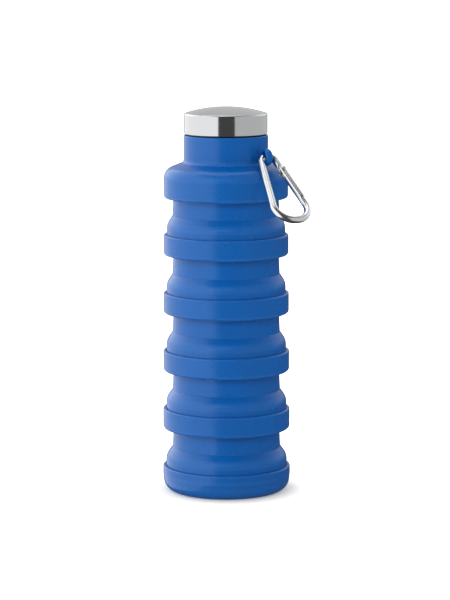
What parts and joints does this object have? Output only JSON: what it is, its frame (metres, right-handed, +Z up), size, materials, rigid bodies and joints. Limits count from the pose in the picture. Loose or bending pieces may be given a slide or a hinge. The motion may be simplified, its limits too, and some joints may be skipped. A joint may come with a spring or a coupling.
{
  "type": "folding water bottle",
  "caption": "Silicone water bottle that folds down in telescoping steps, with a steel screw cap and a snap carabiner hung in a moulded lug.",
  "frame": {"origin": "centre of the base cup's flat underside, on the surface that the bottle stands on", "axes": "+Z up along the bottle's axis, -Y towards the side that shows the lug at the right, +X to the right"},
  "size_m": [0.0854, 0.092, 0.225],
  "materials": {
    "silicone": "matte moulded silicone",
    "cap_steel": "brushed round the axis",
    "carabiner_metal": "polished",
    "insert_plastic": "moulded",
    "liner_plastic": "moulded",
    "gasket_rubber": "moulded",
    "spring_wire": "drawn wire"
  },
  "bodies": {
    "base": {"base_cup": "silicone", "fold_wall_5": "silicone"},
    "band_4": {"band_4": "silicone", "fold_wall_4": "silicone"},
    "band_3": {"band_3": "silicone", "fold_wall_3": "silicone"},
    "band_2": {"band_2": "silicone", "fold_wall_2": "silicone"},
    "band_1": {"band_1": "silicone", "fold_wall_1": "silicone"},
    "shoulder": {"shoulder_neck": "silicone", "neck_insert": "insert_plastic"},
    "gasket": {"cap_gasket": "gasket_rubber"},
    "cap": {"cap_liner": "liner_plastic", "cap_shell": "cap_steel"},
    "carabiner": {"carabiner_body": "carabiner_metal", "gate_rivet": "carabiner_metal", "gate_spring": "spring_wire"},
    "gate": {"carabiner_gate": "carabiner_metal"}
  },
  "joints": [
    {"name": "fold_5", "type": "slide", "parent": "base", "child": "band_4", "axis": [0, 0, -1], "range_m": [0, 0.021], "deforming": ["fold_wall_5"]},
    {"name": "fold_4", "type": "slide", "parent": "band_4", "child": "band_3", "axis": [0, 0, -1], "range_m": [0, 0.021], "deforming": ["fold_wall_4"]},
    {"name": "fold_3", "type": "slide", "parent": "band_3", "child": "band_2", "axis": [0, 0, -1], "range_m": [0, 0.021], "deforming": ["fold_wall_3"]},
    {"name": "fold_2", "type": "slide", "parent": "band_2", "child": "band_1", "axis": [0, 0, -1], "range_m": [0, 0.021], "deforming": ["fold_wall_2"]},
    {"name": "fold_1", "type": "slide", "parent": "band_1", "child": "shoulder", "axis": [0, 0, -1], "range_m": [0, 0.021], "deforming": ["fold_wall_1"]},
    {"name": "cap_rise", "type": "slide", "parent": "shoulder", "child": "gasket", "axis": [0, 0, 1], "range_m": [0, 0.008]},
    {"name": "cap_turn", "type": "hinge", "parent": "gasket", "child": "cap", "pos_m": [0, 0, 0.213], "axis": [0, 0, 1], "range_deg": [0, 720]},
    {"name": "carabiner_swing", "type": "hinge", "parent": "shoulder", "child": "carabiner", "pos_m": [0.02306, -0.01887, 0.19705], "axis": [-0.891, -0.454, 0], "range_deg": [0, 120]},
    {"name": "gate_open", "type": "hinge", "parent": "carabiner", "child": "gate", "pos_m": [0.03215, -0.02345, 0.18973], "axis": [-0.3023, 0.5933, -0.7461], "range_deg": [0, 25], "stiffness_Nm_per_rad": 0.05, "springref_deg": -17.19, "deforming": ["gate_spring"]}
  ],
  "couplings": [
    {"joint": "cap_rise", "follows": "cap_turn", "m_per_rad": 0.00063662}
  ]
}
